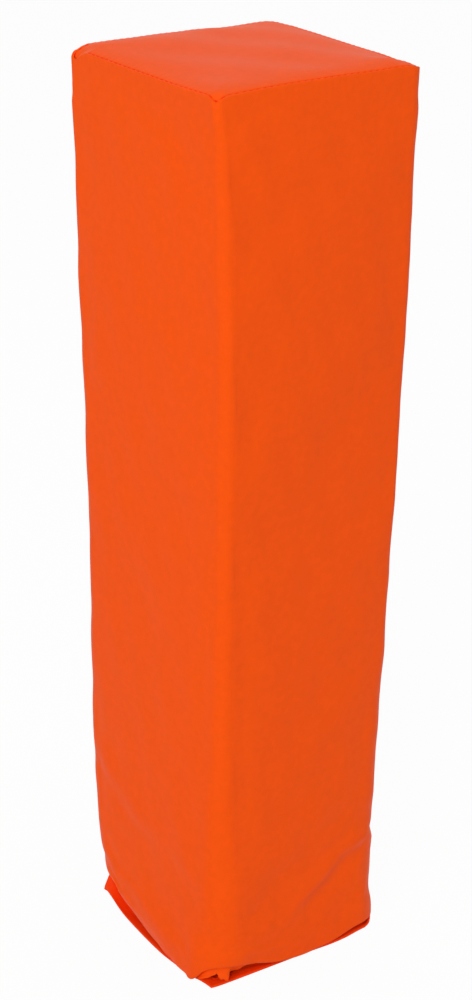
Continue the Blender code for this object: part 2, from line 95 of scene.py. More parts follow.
# Its lower edge, by place round the base: how high it lies and how far it is drawn in, mm.
# A side's flat runs from its number to 0.8 past it, and its corner from there to 1 past it.
EDGE_HEIGHT = {
    0: 5.3, 0.3: 3, 0.6: 6.3, 0.8: 12.5, 0.9: 18.5, 0.95: 20, 0.97: 19.8, 0.99: 18.3, 1.02: 14,
    1.1: 10.3, 1.22: 7.1, 1.32: 5.9, 1.42: 4.8, 1.5: 3.5, 1.59: 3.1, 1.66: 2.5, 1.77: 2.3,
    1.815: 1.8, 1.831: 4.4, 1.856: 9.3, 1.885: 12, 1.93: 13.3, 2: 12.4, 2.1: 9.2, 2.2: 5.8,
    2.4: 2.8, 2.6: 3.2, 2.8: 5.7, 2.9: 4.8, 3: 3.3, 3.4: 2.2, 3.7: 2.5, 3.85: 4.3, 4: 5.3,
}
TUCK = {
    0: 1, 0.5: 1.2, 0.9: 1.6, 0.97: 3.3, 1.1: 3.7, 1.22: 3.5, 1.32: 2.9, 1.42: 2.3, 1.5: 1.8,
    1.6: 1.5, 1.66: 0.7, 1.77: 0.4, 1.85: 0.5, 1.95: 0.8, 2.15: 0.3, 2.4: 0, 4: 1,
}
TUCK_REACH = 16 * MM
LIFT_BLEND = 60 * MM

# Folds in the sleeve: side, rise, reach above and below the ridge, dent below it, and the
# ridge's path as places along its side and heights, all in mm
FOLDS = (
    ("front", 1.4, 7, 4, 0.9, (
        (50, 50.5), (44, 57.5), (31, 56), (25, 54), (18, 48), (11, 43), (1, 37), (-7, 31), (-16, 24),
    )),
    ("front", -1.2, 4, 3, 0, ((45, 61.5), (52, 56), (60, 55))),
    ("front", -0.8, 16, 6.5, 0, ((44, 24), (52, 21), (62, 20))),
    ("front", 0.5, 9, 6, 0.2, ((52, 80), (24, 84), (4, 80), (-6, 78))),
    ("left", 1.0, 7, 7, 0.5, ((-45, 103), (-34, 93), (-21, 84), (9, 69))),
    ("left", 0.8, 10, 8, 0, ((-42, 62), (-26, 45), (9, 20), (34, 11))),
    ("right", 0.9, 8, 5, 0.5, ((-27, 58), (-13, 50), (3, 39), (19, 33))),
    ("right", 0.7, 9, 6, 0.3, ((48, 88), (29, 80), (9, 67), (-7, 61))),
    ("back", 0.9, 8, 5, 0.5, ((-47, 40), (-30, 52), (-9, 58), (8, 55))),
)
DENT_AWAY = 9  # from the ridge to the middle of its dent, mm
DENT_REACH = 6
# Soft waves: their lengths round and up the sleeve, phase and height, mm
WAVES = (
    (31, 47, 0.3, 0.10), (53, -38, 1.9, 0.12), (-71, 66, 4.1, 0.07), (19, 113, 2.6, 0.08),
    (97, 21, 5.2, 0.05),
)

# Fabric
SHEET = 0.7 * MM
SIDE_WIDTH = 110 * MM  # of one side of the flat cloth
WEAVE = 0.62 * MM
FOLD_RADIUS = 1.2 * MM
FOLD_STEPS = 4
HEM_RUN = 8 * MM  # from the sleeve's side to where the turned-in fabric lies level
HEM_END = 12 * MM
HEM_STEPS = 16
TAB_LEVEL = 4.0 * MM  # lower face of a tab
TAB_DEPTH = 30.8 * MM
TAB_HALF = 27 * MM
TABBED = (0, 1, 2)  # the back, left and front sides
PLEAT = 0.5 * MM
FLAP_CLEARANCE = 1.6  # between the turned-in fabric and the flap's risen corner, mm
# Where the turned-in hem bulges out over the flap: place round the base, width, share, level in mm
LIPS = (
    (1.838, 0.018, 1.0, 1.7), (1.864, 0.018, 1.0, 3.4), (1.889, 0.013, 0.8, 6.0),
    (1.916, 0.011, 1.0, 3.2), (1.939, 0.011, 1.0, 2.8), (0.93, 0.02, 0.6, 2.5),
)
LIP_BULGE = 3.4 * MM
LIP_CREASE = 1.3 * MM

# Simulated slack
CLOTH_FRAMES = 20
CLOTH = {
    "quality": 6, "mass": 0.3, "tension_stiffness": 20, "compression_stiffness": 20,
    "shear_stiffness": 8, "bending_stiffness": 0.4,
}
SLACK_CELL = 4.6 * MM
SLACK_PRESSURE = 0.6
SLACK_SPARE = 0.012  # how much larger than its cage the cloth is
SLACK_MOST = 0.5 * MM

# Top seam
EDGE_ROLL = 0.6 * MM  # where a side rounds over to the seam
SEAM_ROLL = 0.8 * MM  # where both layers turn down into it
SEAM_GAP = 0.15 * MM
SEAM_LEVEL = HEIGHT - 1.0 * MM
SEAM_ALLOWANCE = 6 * MM
SEAM_BLEND = 20 * MM  # the sleeve's relief fades out this far below the seam
STITCH_PITCH = 3.6 * MM
PUCKER = 0.12 * MM
PUCKER_REACH = 2.5 * MM

# Top panel
PUFF = 2.7 * MM
PUFF_REACH = 9 * MM
TOP_CROWN = 0.6 * MM
TOP_RADII = (2.2 * MM, 3.9 * MM)  # of its left and its right corners
# Where the top droops: centre, drop, reach, mm; and how its front seam rises along the side
SHOULDERS = ((-55, 55, 5.6, 11), (-58, -53, 2.5, 6), (55, -55, 2.0, 14))
FRONT_LIFT = {-57: 0.8, -28: 1.5, -8: 1.4, 12: 1.1, 30: 0.7, 47: 0.6, 57: 0}
# How far its back and right edges lie under its level, by place along them, mm
BACK_SAG = {
    -57: 0, -43: -0.5, -31: -0.5, -19: -0.3, -5: -0.2, 5: 0.1, 17: 0.3, 23: 0.8, 35: 1.3, 47: 1.2, 57: 1.2,
}
RIGHT_SAG = {
    -57: 2.4, -47: 1.9, -41: 1.9, -36: 1.3, -29: 1, -17: 1, 0: 0.9, 19: 0.7, 37: 0.6, 49: 0, 57: 1.2,
}
SAG_DEPTH = 32  # the droop fades out this far below the top, mm

# Closure flap
FLAP_HALF = 51.5 * MM
FLAP_RIGHT = 55.0  # its right edge beside the fold, mm
FLAP_SKEW = 0.045
HEM_WIDTH = 6.0 * MM
HEM_THICK = 1.4 * MM
HEM_STITCH = 4.4 * MM  # from the flap's edge to its hem's stitches
HINGE = Vector(frame["joints"][0]["pos_m"])
HINGE_HALF = 28 * MM
# How far the laid flap's edges stand out past a straight line, by place along them, mm
FRONT_BOW = {-52: -0.8, -37: 0.2, -5: 2.0, 8: 2.7, 22: 3.8, 30: 3.7, 38: 2.8, 46: 2.0}
LEFT_BOW = {
    -52: 0.9, -46: 0.7, -41: 1.4, -37: 2.6, -33: 3.0, -26: 2.9, -12: 3.0, -4: 2.4, 3: 1.7, 11: 0.9,
    18: 0.5, 30: 0.3, 52: 0,
}
# Curled corners: signs of x and y, where the curl starts on the diagonal and its radius, mm,
# its most degrees, and how many times longer the cloth is drawn there
CURLS = ((-1, -1, 66.0, 26.0, 40, 1.0), (1, -1, 70.0, 2.8, 95, 1.3), (1, 1, 66.0, 12.0, 60, 1.0))
EAR_START = 42  # where the back left corner starts to rise on its diagonal, mm
EAR_RISE = 0.022  # its rise is this times the square of the mm past that start
EAR_DROOP = 0.45  # the share of the rise that its left margin lacks
EAR_TIP = 3.6  # how far its tip hangs down and is drawn forwards, mm
EAR_PULL = 7.0

# Ballast bag
BAG_SEAM = 30 * MM
BAG_HALF = 44 * MM
BAG_ROUNDING = 9 * MM
BAG_SPARE_HEIGHT = 4 * MM  # the bag starts this much lower and is blown up from there
BAG_CLEARANCE = 0.3 * MM
BAG_CELL = 4 * MM
BAG_PINNED = 2.6 * MM  # half the height of the band that its seam holds
BAG_PRESSURE = 4.0
BAG_SPARE = 0.03
BAG_MOST = 6 * MM
BAG_SHEET = 0.4 * MM
SEAM_LAYER = 0.3 * MM  # how far each layer lies from the middle of the seam
FLANGE_STEPS = (1.2 * MM, 1.6 * MM, 1.8 * MM)
FLANGE_WAVE = 0.3 * MM
FLANGE_WAVES = 17
SAND_INSET = 1.0 * MM

# Hook and loop tapes
TAPE_LENGTH = 44 * MM
TAPE_STATIONS = 89
# A tape's thickness across it, with a bead of selvedge along both edges, mm
TAPE_SECTION = {
    -9.5: 0.12, -9.35: 0.34, -9: 0.42, -8.4: 0.36, -8: 0.3, -4: 0.3, 0: 0.3, 4: 0.3, 8: 0.3,
    8.4: 0.36, 9: 0.42, 9.35: 0.34, 9.5: 0.12,
}
TAPE_FACE = 0.28
HOOK = {"reach": 0.34, "tall": 0.52, "thread": 0.085, "arc": 235}
LOOP = {"reach": (0.4, 0.8), "tall": (0.35, 0.6), "thread": 0.05, "arc": 180}
LOOPS = 520
CURL_RINGS = 7
CURL_SIDES = 4

# Camera, fitted to the photograph's outline
CAMERA_AZIMUTH = -38.76
CAMERA_ELEVATION = 24.45
CAMERA_ROLL = 0.77
CAMERA_DISTANCE = 1.0909
CAMERA_LENS = 80.37
CAMERA_AIM = (-1.4 * MM, 8.8 * MM)  # right and up of the pylon's middle

# Stage: each lamp's place, size and watts, and the levels of the surroundings
LAMPS = {
    "key": ((-1.75, -1.0, 1.35), 1.2, 28),
    "fill": ((0.7, -2.0, 0.9), 1.4, 6.6),
    "over": ((0.2, 0.3, 2.0), 1.2, 6.8),
}
FLOOR_HALF = 3.0
FLOOR_GREY = 0.80
FLOOR_GLOW = 0.96
WORLD_LIGHT = 0.45

# Colours, linear
ORANGE = (0.89, 0.085, 0.0030)
FLAP_ORANGE_WITH_PAINTED_SHADE = (0.90, 0.050, 0.002)  # the sleeve's orange made redder: painted shade, for the deep red of the shaded gap under the sleeve's edge
# Stitch thread: its darker red is painted shade, for the shaded stitch holes along the seams
THREAD_WITH_PAINTED_SHADE = (0.85, 0.028, 0.001)
BAG_THREAD = (0.70, 0.66, 0.56)
FOAM = (0.30, 0.31, 0.33)
CANVAS = (0.62, 0.60, 0.54)
SAND = (0.56, 0.43, 0.27)
HOOK_TAPE = (0.02, 0.02, 0.022)
LOOP_TAPE = (0.80, 0.12, 0.035)


# Small tools


def smooth(at, table):
    """A smooth curve through a table's few points, read at many places."""
    keys, values = np.array(list(table.items()), float).T
    at = np.clip(at, keys[0], keys[-1])
    slopes = np.gradient(values, keys)
    i = np.clip(np.searchsorted(keys, at) - 1, 0, len(keys) - 2)
    span = keys[i + 1] - keys[i]
    t = (at - keys[i]) / span
    rise = 3 * t**2 - 2 * t**3
    bends = (t**3 - 2 * t**2 + t) * slopes[i] + (t**3 - t**2) * slopes[i + 1]
    return values[i] * (1 - rise) + values[i + 1] * rise + bends * span


def ease(t):
    """0 before 0, 1 after 1, smooth between."""
    t = np.clip(t, 0, 1)
    return t * t * (3 - 2 * t)


def hump(t):
    """1 at 0, falling away smoothly on both sides."""
    return np.exp(-(t**2))


def quarter(steps):
    """How far a quarter turn of radius 1 has gone aside and ahead after each step."""
    turns = np.radians(np.linspace(0, 90, steps + 1)[1:])
    return list(zip(1 - np.cos(turns), np.sin(turns)))


def turned(points, degrees):
    """Points turned anticlockwise about the upright axis."""
    c, s = np.cos(np.radians(degrees)), np.sin(np.radians(degrees))
    x, y = points[..., 0], points[..., 1]
    flat = np.stack([x * c - y * s, x * s + y * c], axis=-1)
    return np.concatenate([flat, points[..., 2:]], axis=-1)


def add_object(name, data):
    made = bpy.data.objects.new(name, data)
    bpy.context.scene.collection.objects.link(made)
    return made


def grid_mesh(name, points, faces, lengths=None):
    """An object from points, faces and, if given, each point's place on the flat cloth in metres."""
    mesh = bpy.data.meshes.new(name)
    mesh.from_pydata([tuple(p) for p in points], [], [tuple(f) for f in faces])
    mesh.validate()
    if lengths is not None:
        cloth = mesh.uv_layers.new(name="cloth")
        corners = np.zeros(len(mesh.loops), np.int32)
        mesh.loops.foreach_get("vertex_index", corners)
        cloth.data.foreach_set("uv", np.asarray(lengths, float)[corners].ravel())
    mesh.shade_smooth()
    return add_object(name, mesh)


def grid_faces(rows, columns):
    index = np.arange(rows * columns).reshape(rows, columns)
    return [
        (index[j][i], index[j][i + 1], index[j + 1][i + 1], index[j + 1][i])
        for j in range(rows - 1)
        for i in range(columns - 1)
    ]


def grid_border(rows, columns):
    """The points round a grid's edge, each with the one after it."""
    index = np.arange(rows * columns).reshape(rows, columns)
    ring = [*index[0, :-1], *index[:-1, -1], *index[-1, :0:-1], *index[:0:-1, 0]]
    return list(zip(ring, ring[1:] + ring[:1]))


def tube_faces(total, count, capped=False, first=0):
    """Faces of a tube of rings of points and, if asked for, of its two ends."""
    index = first + np.arange(total * count).reshape(total, count)
    ahead = np.roll(index, -1, axis=1)
    faces = [
        (index[r][c], ahead[r][c], ahead[r + 1][c], index[r + 1][c])
        for r in range(total - 1)
        for c in range(count)
    ]
    if capped:
        faces += [tuple(index[0][::-1]), tuple(index[-1])]
    return faces


def thicken(piece, thickness):
    """Give a sheet its thickness, on its inner side."""
    solid = piece.modifiers.new("thickness", "SOLIDIFY")
    solid.thickness = thickness
    solid.offset = -1.0
    solid.use_even_offset = False


def mesh_arrays(piece):
    """Points and faces of a piece as its modifiers leave it."""
    mesh = piece.evaluated_get(bpy.context.evaluated_depsgraph_get()).to_mesh()
    points = np.array([v.co for v in mesh.vertices])
    faces = [tuple(p.vertices) for p in mesh.polygons]
    return points, faces


# Cloth simulation


def simulate(name, points, faces, pinned, pressure, spare):
    """Where a closed skin's points lie after Blender's Cloth has blown it up for 20 frames."""
    cage = grid_mesh(name, points, faces)
    group = cage.vertex_groups.new(name="pinned")
    group.add([int(i) for i in pinned], 1.0, "REPLACE")
    cloth = cage.modifiers.new("cloth", "CLOTH")
    for key, value in CLOTH.items():
        setattr(cloth.settings, key, value)
    cloth.settings.vertex_group_mass = "pinned"
    cloth.settings.use_pressure = True
    cloth.settings.uniform_pressure_force = pressure
    cloth.settings.shrink_min = -spare
    cloth.settings.effector_weights.gravity = 0
    cloth.point_cache.frame_start = 1
    cloth.point_cache.frame_end = CLOTH_FRAMES
    for number in range(1, CLOTH_FRAMES + 1):
        bpy.context.scene.frame_set(number)
    found, _ = mesh_arrays(cage)
    bpy.context.scene.frame_set(1)
    bpy.data.objects.remove(cage)
    return found


def blurred(field, across, up):
    """A field over the sleeve, round it and up it, evened out by running means."""
    for _ in range(2):
        shifts = range(-across, across + 1)
        field = sum(np.roll(field, shift, axis=1) for shift in shifts) / len(shifts)
        padded = np.pad(field, ((up, up), (0, 0)), mode="edge")
        field = sum(padded[shift : shift + len(field)] for shift in range(2 * up + 1)) / (2 * up + 1)
    return field


def slack_relief(levels):
    """Relief of the sleeve's slack cloth over the foam, simulated on a cage and read at its rows."""
    ring, _ = sleeve_surface(HEIGHT / 2, 0)
    steps = np.linalg.norm(np.roll(ring, -1, axis=0) - ring, axis=1)
    arc = np.concatenate([[0], np.cumsum(steps)[:-1]])
    picks = np.unique(np.searchsorted(arc, np.arange(0, arc[-1], SLACK_CELL)))
    cage_levels = np.arange(6 * MM, SEAM_LEVEL - 1 * MM, SLACK_CELL)
    surface, facing = sleeve_surface(cage_levels[:, None], 0)
    start, facing = surface[:, picks], facing[:, picks]
    total, around = start.shape[:2]
    middles = [(0, 0, cage_levels[0]), (0, 0, cage_levels[-1])]
    points = np.concatenate([start.reshape(-1, 3), middles])
    index = np.arange(total * around).reshape(total, around)
    low, high = total * around, total * around + 1
    faces = tube_faces(total, around)
    for column in range(around):
        ahead = (column + 1) % around
        faces.append((index[0][ahead], index[0][column], low))
        faces.append((index[-1][column], index[-1][ahead], high))
    pinned = [*index[0], *index[-1], low, high]
    found = simulate("sleeve_cage", points, faces, pinned, SLACK_PRESSURE, SLACK_SPARE)
    moved = found[:low].reshape(total, around, 3) - start
    out = (moved[..., :2] * facing).sum(axis=-1)
    out = out - blurred(out, 5, 5)
    out = SLACK_MOST * np.tanh(out / SLACK_MOST)
    wide = np.array([np.interp(arc, arc[picks], row, period=arc[-1] + steps[-1]) for row in out])
    fine = np.array([np.interp(levels, cage_levels, column) for column in wide.T]).T
    return blurred(fine, 2, 1)


# Shape of the sleeve


def stations():
    """Stations round the sleeve: side, place along its flat from -1 to 1, and angle past it."""
    found = []
    for index in range(4):
        found += [(index, place, 0.0) for place in np.linspace(-1, 1, FLAT_COLUMNS)]
        share = np.linspace(-1, 1, CORNER_COLUMNS + 3)[1:-1]
        if index == SEAM_CORNER:
            share = 0.3 * share + 0.7 * share**3
        found += [(index, 1.0, angle) for angle in math.pi / 4 * (1 + share)]
    side, along, turn = np.array(found).T
    return side.astype(int), along, turn


SIDE, ALONG, TURN = stations()
COUNT = len(SIDE)
ROUND = SIDE + np.where(TURN > 0, 0.8 + 0.2 * TURN / (math.pi / 2), 0.4 * (ALONG + 1))


def half_width(z):
    return smooth(z / MM, HALF_WIDTH) * MM


def corner_radius(offset, z):
    """Radius of the corner before (offset -1) or after (0) each station's side, at a height."""
    radius = np.zeros(np.shape(z))
    for index, corner in enumerate(CORNERS):
        here = (SIDE + offset) % 4 == index
        radius[..., here] = smooth(z[..., here] / MM, CORNER_RADIUS[corner]) * MM
    return radius


def side_places(z, inset):
    """A side's half width, the radius after it, and where each station lies along it."""
    half = half_width(z) - inset
    before = np.maximum(corner_radius(-1, z) - inset, LEAST_RADIUS)
    after = np.maximum(corner_radius(0, z) - inset, LEAST_RADIUS)
    low, high = before - half, half - after
    return half, after, low + (high - low) * (ALONG + 1) / 2


def sleeve_surface(z, inset):
    """Points of the sleeve, inset from its outer face, and the way they face.

    The height z and the inset are one for a whole row or one for each station.
    """
    z = z + np.zeros(COUNT)
    half, after, place = side_places(z, inset)
    crown = FACE_CROWN * np.clip(1 - (2 * z / HEIGHT - 1) ** 4, 0, 1)
    bulge = crown * np.cos(math.pi / 2 * np.clip(place / half, -1, 1)) ** 2
    out, on = OUTWARD[SIDE], ONWARD[SIDE]
    facing = out * np.cos(TURN)[:, None] + on * np.sin(TURN)[:, None]
    flat = out * (half + bulge)[..., None] + on * place[..., None]
    corner = (out + on) * (half - after)[..., None] + facing * after[..., None]
    xy = np.where((TURN > 0)[:, None], corner, flat)
    twist = smooth(z / MM, TWIST)
    points = np.concatenate([turned(xy, twist), z[..., None]], axis=-1)
    return points, turned(np.broadcast_to(facing, xy.shape), twist)


def fold_rise(place, z, most, above, below, dented, path):
    """Height of one standing fold at places along its side: a ridge that is steeper below."""
    path = np.array(path, float)
    x, y = place / MM, z / MM
    best, rise = np.full(x.shape, 1e9), np.zeros(x.shape)
    lengths = np.hypot(*np.diff(path, axis=0).T)
    run = np.concatenate([[0], np.cumsum(lengths)])
    for (x0, y0), (x1, y1), start, length in zip(path, path[1:], run, lengths):
        t = np.clip(((x - x0) * (x1 - x0) + (y - y0) * (y1 - y0)) / length**2, 0, 1)
        dx, dy = x - x0 - t * (x1 - x0), y - y0 - t * (y1 - y0)
        distance = np.hypot(dx, dy)
        over = dy > 0
        share = (start + t * length) / run[-1]
        fade = ease(share / 0.15 + 0.3) * ease((1 - share) / 0.35)
        ridge = most * hump(distance / np.where(over, above, below))
        dent = np.where(over, 0, dented) * hump((distance - DENT_AWAY) / DENT_REACH)
        rise = np.where(distance < best, (ridge - dent) * fade, rise)
        best = np.minimum(best, distance)
    return rise * MM


def undulation(length, z):
    """Soft waves in cloth that lies on foam: a few long ripples that don't repeat."""
    total = np.zeros(np.broadcast(length, z).shape)
    for along, up, phase, height in WAVES:
        total += height * np.sin(math.tau * (length / (along * MM) + z / (up * MM)) + phase)
    return total * MM


def sleeve_relief(z, level):
    """How far the cloth stands off its plain form: folds, waves, slack and puckers at the seam."""
    half, after, place = side_places(z, 0)
    place = place + after * TURN
    relief = undulation(place + SIDE * 2 * half, z)
    for side, *fold in FOLDS:
        index = SIDES.index(side)
        here = SIDE == index
        relief[:, here] += fold_rise(place[:, here], z[:, here], *fold)
        past = (SIDE == (index - 1) % 4) & (TURN > 0)
        before = -(half - after)[:, past] - after[:, past] * (math.pi / 2 - TURN[past])
        relief[:, past] += fold_rise(before, z[:, past], *fold)
    from_join = np.abs(after * (TURN - math.pi / 4)) / MM
    joined = (SIDE == SEAM_CORNER) & (TURN > 0)
    groove = 0.3 * hump((from_join - 1.6) / 0.9) - 0.9 * hump(from_join / 0.6)
    relief += np.where(joined, groove, 0) * MM
    from_seam = (SEAM_LEVEL - level)[:, None]
    pucker = PUCKER * np.exp(-from_seam / PUCKER_REACH) * np.cos(math.tau * place / STITCH_PITCH)
    return (relief + slack_relief(level)) * ease(from_seam / SEAM_BLEND) + pucker


def sleeve_levels():
    """Heights of the sleeve's rows, closer together at the base and under the seam."""
    above_folds, near_seam = 75 * MM, SEAM_LEVEL - 24 * MM
    low = np.linspace(0, above_folds, 58, endpoint=False)
    middle = np.linspace(above_folds, near_seam, 78, endpoint=False)
    high = np.linspace(near_seam, SEAM_LEVEL - EDGE_ROLL, 18)
    return np.concatenate([low, middle, high])


def shoulder(points):
    """The top's corners droop, the back left one most, and its seam isn't quite level."""
    x, y, z = points[..., 0] / MM, points[..., 1] / MM, points[..., 2] / MM
    near_top = ease((z - (HEIGHT / MM - SAG_DEPTH)) / 30)
    shift = smooth(x, FRONT_LIFT) * ease(-y / 55) ** 3
    sag_right = smooth(y, RIGHT_SAG) * ease((x - 15) / 40) * ease((y + 58) / 25)
    sag_back = smooth(x, BACK_SAG) * ease((y - 15) / 40)
    shift = shift - np.where(x > 0, np.maximum(sag_right, sag_back), sag_back)
    for centre_x, centre_y, drop, reach in SHOULDERS:
        distance = np.hypot(x - centre_x, y - centre_y)
        shift = shift - drop * np.clip(1 - distance / reach, 0, 1) ** 1.6
    return np.stack([x, y, z + shift * near_top], axis=-1) * MM


def seam_rows(pucker):
    """Rows of the sleeve over its rolled edge and down into the top seam."""
    roll = [(EDGE_ROLL * aside, SEAM_LEVEL - EDGE_ROLL * (1 - ahead)) for aside, ahead in quarter(9)]
    roll += [(EDGE_ROLL + SEAM_ROLL * ahead, SEAM_LEVEL - SEAM_ROLL * aside) for aside, ahead in quarter(4)]
    roll += [(EDGE_ROLL + SEAM_ROLL, SEAM_LEVEL - depth) for depth in (2 * MM, SEAM_ALLOWANCE)]
    first_hidden = len(roll) - 3
    rows = []
    for number, (inset, level) in enumerate(roll):
        ring, way = sleeve_surface(level, inset)
        share = math.cos(math.radians(min(90, 10 * (number + 1))))
        ring[..., :2] += way * (pucker * share)[:, None]
        ring[..., 2] += pucker * (1 - share) * (number < first_hidden)
        rows.append(ring)
    return rows


def hem_path(edge, tuck):
    """Inset and level of each row from the sleeve's lower edge to where the tabs begin."""
    turn = quarter(FOLD_STEPS)
    path = [(tuck + FOLD_RADIUS * aside, edge - FOLD_RADIUS * ahead) for aside, ahead in turn]
    bottom = edge - FOLD_RADIUS
    steepness = 1 - ease((bottom - 2 * MM) / (2 * MM))
    parts = [most * hump((ROUND - middle) / wide) for middle, wide, most, _ in LIPS]
    lip = ease(1.3 * sum(parts) - 0.15)
    lip_level = sum(part * level for part, (*_, level) in zip(parts, LIPS))
    lip_level = lip_level / np.maximum(sum(parts), 1e-9) * MM
    for share in np.linspace(0, 1, HEM_STEPS + 1)[1:]:
        inset = tuck + FOLD_RADIUS + (HEM_RUN - FOLD_RADIUS) * share
        steep = 1 - (1 - share) ** 2
        fall = ease(share) + (steep - ease(share)) * steepness
        level = bottom + (TAB_LEVEL - bottom) * fall
        low = bottom + (lip_level - bottom) * ease(share / 0.7)
        low = low + (TAB_LEVEL - lip_level) * ease((share - 0.75) / 0.25)
        bulge = LIP_BULGE * hump((share - 0.58) / 0.2) - LIP_CREASE * hump((share - 0.12) / 0.08)
        path.append((inset - lip * bulge, level + (low - level) * lip))
    return path + [(np.maximum(tuck + HEM_RUN, HEM_END), TAB_LEVEL)]


def under_rows(path, shared, edge_row, edge_relief, lift, place, folded):
    """Rows under the base: a gathered hem, three tabs, and the fold that ends at the hinge's axis."""
    rows = []
    gathered = PLEAT * ease((lift - 5 * MM) / (6 * MM))
    gathered = gathered * np.sin(place / (2.1 * MM) + 0.9 * np.sin(place / (5.3 * MM)))
    axis = edge_row.copy()
    axis[:, 0] = HINGE.x
    axis[:, 2] = HINGE.z - SHEET / 2
    for number, (inset, level) in enumerate(path):
        ring, way = sleeve_surface(np.maximum(level, 0), inset)
        pleat = gathered * math.sin(math.pi * min(1, number / shared))
        ring[..., :2] += way * (pleat + edge_relief * max(0, 1 - number / FOLD_STEPS))[:, None]
        clear = (corner_rise(ring[:, 0] / MM, ring[:, 1] / MM) + FLAP_CLEARANCE) * MM
        ring[..., 2] = np.maximum(level, clear) if number >= FOLD_STEPS else level
        to_axis = edge_row + (axis - edge_row) * min(1, (number + 1) / FOLD_STEPS)
        ring[folded] = to_axis[folded]
        rows.append(ring)
    return rows


def build_sleeve():
    """The side cover: down from the top seam, round the lower fold and in under the base."""
    lift = smooth(ROUND, EDGE_HEIGHT) * MM
    tuck = smooth(ROUND, TUCK) * MM
    levels = sleeve_levels()
    z = levels[:, None] + lift * np.clip(1 - levels / LIFT_BLEND, 0, 1)[:, None] ** 2
    drawn = tuck * np.clip(1 - levels[:, None] / TUCK_REACH, 0, 1) ** 2.5
    rows, facing = sleeve_surface(z, drawn)
    relief = sleeve_relief(z, levels)
    rows[..., :2] += facing * relief[..., None]

    _, after, place = side_places(z[0], 0)
    place = place + after * TURN
    tabbed = np.isin(SIDE, TABBED) & (TURN == 0) & (np.abs(place) <= TAB_HALF)
    folded = (SIDE == 3) & (TURN == 0) & (np.abs(place) <= HINGE_HALF)
    path = hem_path(z[0], tuck)
    shared = len(path)
    for depth in np.linspace(HEM_END, TAB_DEPTH, 10)[1:]:
        path.append((np.maximum(tuck + HEM_RUN + 1 * MM, depth), TAB_LEVEL))
    under = under_rows(path, shared, rows[0], relief[0], lift, place, folded)
    stack = shoulder(np.array(under[::-1] + list(rows) + seam_rows(relief[-1])))

    column = int(np.argmin(np.abs(TURN - math.pi / 4) + 9 * (SIDE != SEAM_CORNER)))
    stitched = slice(4, -8)
    join = shoulder(rows[stitched, column])
    join_facing = np.concatenate([facing[stitched, column], np.zeros((len(join), 1))], axis=1)
    sew("join_stitches", "marker", [(join + join_facing * 0.12 * MM, join_facing)])

    # The cloth ends beside the tabs, at both ends of the flap's fold and at the hinge's axis
    total, below = len(stack), len(under)
    depth = below - 1 - np.arange(total - 1)[:, None]
    beside_tab = (depth >= shared) & ~(tabbed & np.roll(tabbed, -1))
    beside_fold = (depth >= 0) & (folded != np.roll(folded, -1))
    past_axis = (depth >= FOLD_STEPS) & folded
    open_cells = (beside_tab | beside_fold | past_axis).ravel()
    faces = [face for face, missing in zip(tube_faces(total, COUNT), open_cells) if not missing]
    numbers = np.arange(total)
    lengths = np.zeros((total, COUNT, 2))
    lengths[..., 0] = place + SIDE * SIDE_WIDTH
    lengths[..., 1] = stack[..., 2] + np.where(numbers < below, 2 * MM * numbers - 30 * MM, 0)[:, None]
    used = sorted({i for face in faces for i in face})
    renumber = {old: new for new, old in enumerate(used)}
    faces = [tuple(renumber[i] for i in face) for face in faces]
    sleeve = grid_mesh("sleeve", stack.reshape(-1, 3)[used], faces, lengths.reshape(-1, 2)[used])
    thicken(sleeve, SHEET)
    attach(sleeve, "marker")
    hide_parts("side_cover")
    return sleeve


# Stitches


THREADS = {}


# By default the threads carry painted shade: a darker red for the shaded stitch holes
def sew(name, body, lines, colour=THREAD_WITH_PAINTED_SHADE, share=0.72, radius=0.24 * MM):
    """The threads of one seam: a short bar for each stitch, whose ends dive into the cloth."""
    sides, steps = 6, 7
    reach = np.linspace(-1, 1, steps)
    girth = radius * np.sqrt(1 - 0.9 * reach**6)
    turns = math.tau * np.arange(sides)[:, None] / sides
    points, faces = [], []
    for path, up in lines:
        lengths = np.linalg.norm(np.diff(path, axis=0), axis=1)
        run = np.concatenate([[0], np.cumsum(lengths)])
        first_start, last_start = STITCH_PITCH * (1 - share) / 2, run[-1] - STITCH_PITCH * share
        for start in np.arange(first_start, last_start, STITCH_PITCH):
            at = start + STITCH_PITCH * share * (reach + 1) / 2
            centre, normal = (
                np.array([np.interp(at, run, axis) for axis in rows.T]).T for rows in (path, up)
            )
            normal /= np.linalg.norm(normal, axis=1)[:, None]
            centre -= normal * (1.6 * radius * reach**4)[:, None]
            across = np.cross(np.gradient(centre, axis=0), normal)
            across /= np.linalg.norm(across, axis=1)[:, None]
            way = across[:, None] * np.cos(turns) + normal[:, None] * np.sin(turns)
            faces += tube_faces(steps, sides, capped=True, first=len(points))
            points += list((centre[:, None] + way * girth[:, None, None]).reshape(-1, 3))
    threads = grid_mesh(name, points, faces)
    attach(threads, body)
    if colour not in THREADS:
        THREADS[colour] = plain_material(f"thread_{len(THREADS)}", colour, 0.7, 3500, 0.05 * MM)
        shader = THREADS[colour].node_tree.nodes["Principled BSDF"]
        shader.inputs["Specular IOR Level"].default_value = 0.05
    dress(threads, THREADS[colour])


# Top panel


def rounded(x, y, half):
    """Draw the corners of a square of points in to their radii."""
    radius = np.where(x < 0, *TOP_RADII)
    dx, dy = np.abs(x) - (half - radius), np.abs(y) - (half - radius)
    cornered = (dx > 0) & (dy > 0)
    reach = np.hypot(np.clip(dx, 0, None), np.clip(dy, 0, None))
    pull = np.where(cornered, np.maximum(dx, dy) / np.maximum(reach, 1e-9), 1)
    x = np.where(cornered, np.sign(x) * (half - radius + dx * pull), x)
    y = np.where(cornered, np.sign(y) * (half - radius + dy * pull), y)
    return x, y


